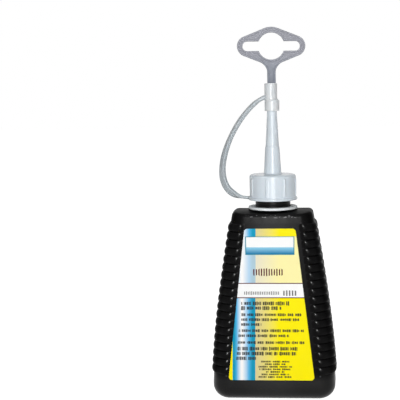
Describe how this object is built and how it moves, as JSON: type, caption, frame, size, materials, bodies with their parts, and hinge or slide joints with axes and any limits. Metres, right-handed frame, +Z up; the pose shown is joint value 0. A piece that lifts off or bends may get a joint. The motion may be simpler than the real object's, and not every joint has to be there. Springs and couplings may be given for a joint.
{
  "type": "graphite lock lubricant bottle",
  "caption": "Ribbed tapering squeeze bottle of dry graphite with a screw cap, a long stepped nozzle, a tethered tip cap and a hang tag behind it.",
  "frame": {"origin": "middle of the bottle's base, on the surface that it stands on", "axes": "+Z up along the neck and the nozzle, -Y out of the label, +X to the right as the label is read"},
  "size_m": [0.059, 0.0286, 0.1727],
  "materials": {
    "bottle_black": "moulded polyethylene, soft sheen",
    "label_print": "printed paper with a light varnish",
    "graphite": "dry powder",
    "hanger_grey": "frosted moulded plastic",
    "cap_natural": "milky translucent polyethylene",
    "liner_white": "foamed polyethylene",
    "strap_natural": "milky translucent polyethylene",
    "tip_natural": "milky translucent polyethylene"
  },
  "bodies": {
    "bottle_body": {"bottle": "bottle_black", "label": "label_print", "graphite_powder": "graphite"},
    "cap_turning": {"cap_liner": "liner_white"},
    "closure": {"nozzle_cap": "cap_natural", "strap": "strap_natural"},
    "tip": {"tip_cap": "tip_natural"},
    "hang_tag": {"hanger": "hanger_grey"}
  },
  "joints": [
    {"name": "cap_turn", "type": "hinge", "parent": "bottle_body", "child": "cap_turning", "pos_m": [0, 0, 0.1], "axis": [0, 0, 1], "range_deg": [0, 540]},
    {"name": "cap_lift", "type": "slide", "parent": "cap_turning", "child": "closure", "axis": [0, 0, 1], "range_m": [0, 0.0045]},
    {"name": "tip_pull", "type": "slide", "parent": "closure", "child": "tip", "axis": [0, 0, 1], "range_m": [0, 0.013], "deforming": ["strap"]},
    {"name": "tag_swing", "type": "hinge", "parent": "cap_turning", "child": "hang_tag", "pos_m": [0, 0, 0.09], "axis": [0, 0, 1], "range_deg": [-235, 55]}
  ],
  "couplings": [
    {"joint": "cap_lift", "follows": "cap_turn", "m_per_rad": 0.00047746}
  ]
}
